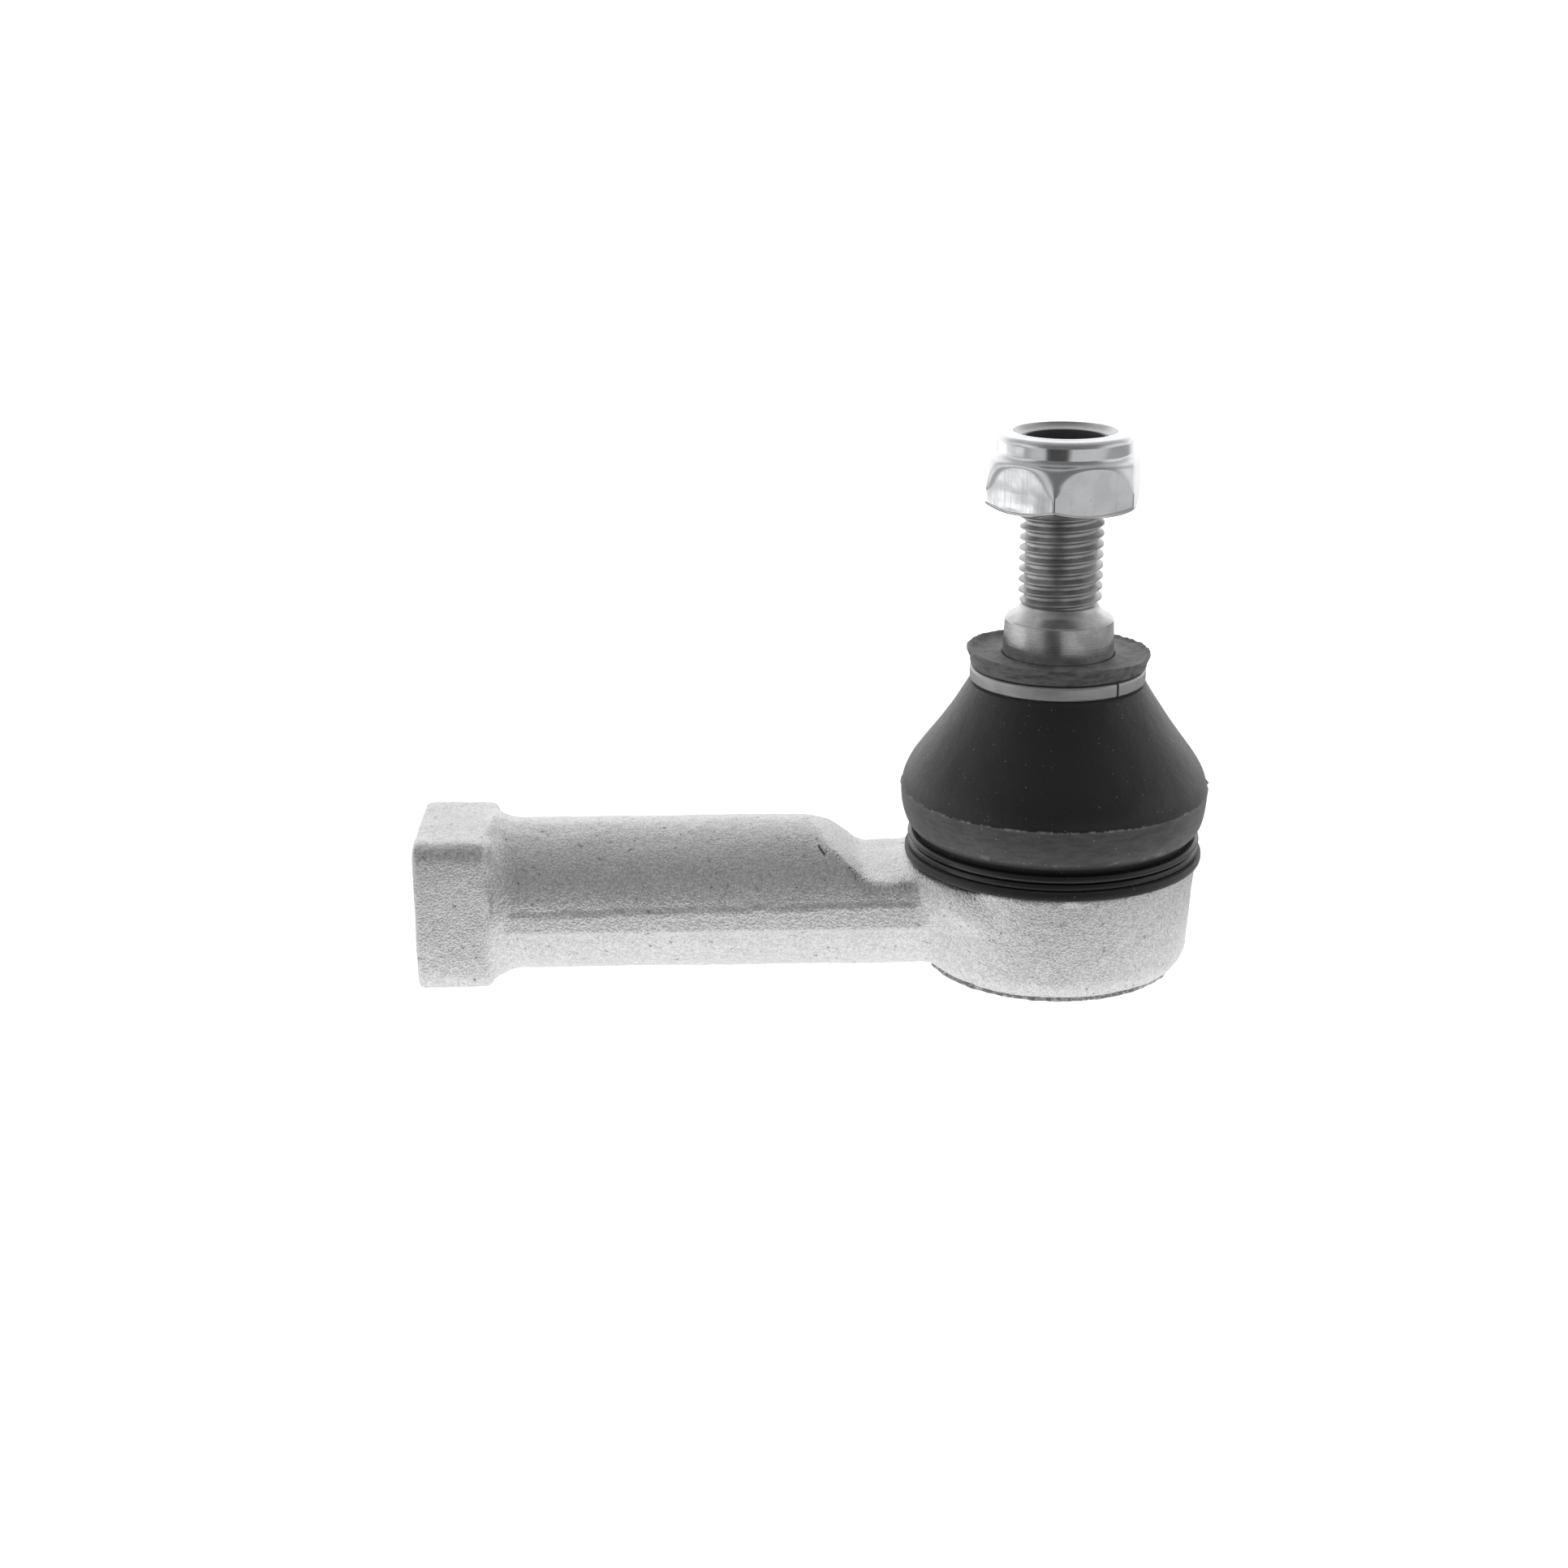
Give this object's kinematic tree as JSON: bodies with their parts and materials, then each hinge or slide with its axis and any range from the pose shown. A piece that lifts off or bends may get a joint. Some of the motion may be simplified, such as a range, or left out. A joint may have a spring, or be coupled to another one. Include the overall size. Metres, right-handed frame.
{
  "type": "tie rod end",
  "caption": "Steering tie rod end: forged shank with an internal thread, ball joint under a rubber dust boot, tapered threaded stud and self-locking hex nut.",
  "frame": {"origin": "centre of the ball, which is the joint's pivot point", "axes": "+Z out along the stud towards the nut, -X along the shank towards the tie rod, Y across"},
  "size_m": [0.0949, 0.0366, 0.0652],
  "materials": {
    "blasted_zinc_forging": "shot-blasted forging with silver zinc coating",
    "acetal": "moulded, greased",
    "spring_steel": "phosphated",
    "plated_plug": "pressed sheet, zinc plated",
    "machined_steel": "turned, satin",
    "boot_rubber": "moulded satin rubber",
    "black_wire": "black coated spring wire, glossy",
    "ring_grey": "smooth satin grey",
    "nylon": "moulded nylon",
    "bright_zinc": "bright zinc plate"
  },
  "bodies": {
    "housing": {"housing": "blasted_zinc_forging", "upper_seat": "acetal", "lower_seat": "acetal", "preload_spring": "spring_steel", "closing_plug": "plated_plug"},
    "boot_base": {"dust_boot": "boot_rubber", "boot_lower_ring": "black_wire"},
    "boot_neck": {"boot_upper_ring": "ring_grey"},
    "stud": {"ball_stud": "machined_steel"},
    "nut_carrier": {"nut_insert": "nylon"},
    "nut": {"lock_nut": "bright_zinc"}
  },
  "joints": [
    {"name": "swing_direction", "type": "hinge", "parent": "housing", "child": "boot_base", "pos_m": [0, 0, 0], "axis": [0, 0, 1], "continuous": true},
    {"name": "stud_tilt", "type": "hinge", "parent": "boot_base", "child": "boot_neck", "pos_m": [0, 0, 0], "axis": [0, 1, 0], "range_deg": [-24, 24], "deforming": ["dust_boot"]},
    {"name": "stud_spin", "type": "hinge", "parent": "boot_neck", "child": "stud", "pos_m": [0, 0, 0], "axis": [0, 0, 1], "continuous": true},
    {"name": "nut_travel", "type": "slide", "parent": "stud", "child": "nut_carrier", "axis": [0, 0, 1], "range_m": [-0.00951, 0.00561], "deforming": ["nut_insert"]},
    {"name": "nut_spin", "type": "hinge", "parent": "nut_carrier", "child": "nut", "pos_m": [0, 0, 0.0445], "axis": [0, 0, 1], "range_deg": [-2736, 1612.8]}
  ],
  "couplings": [
    {"joint": "nut_travel", "follows": "nut_spin", "m_per_rad": 0.00019894}
  ]
}
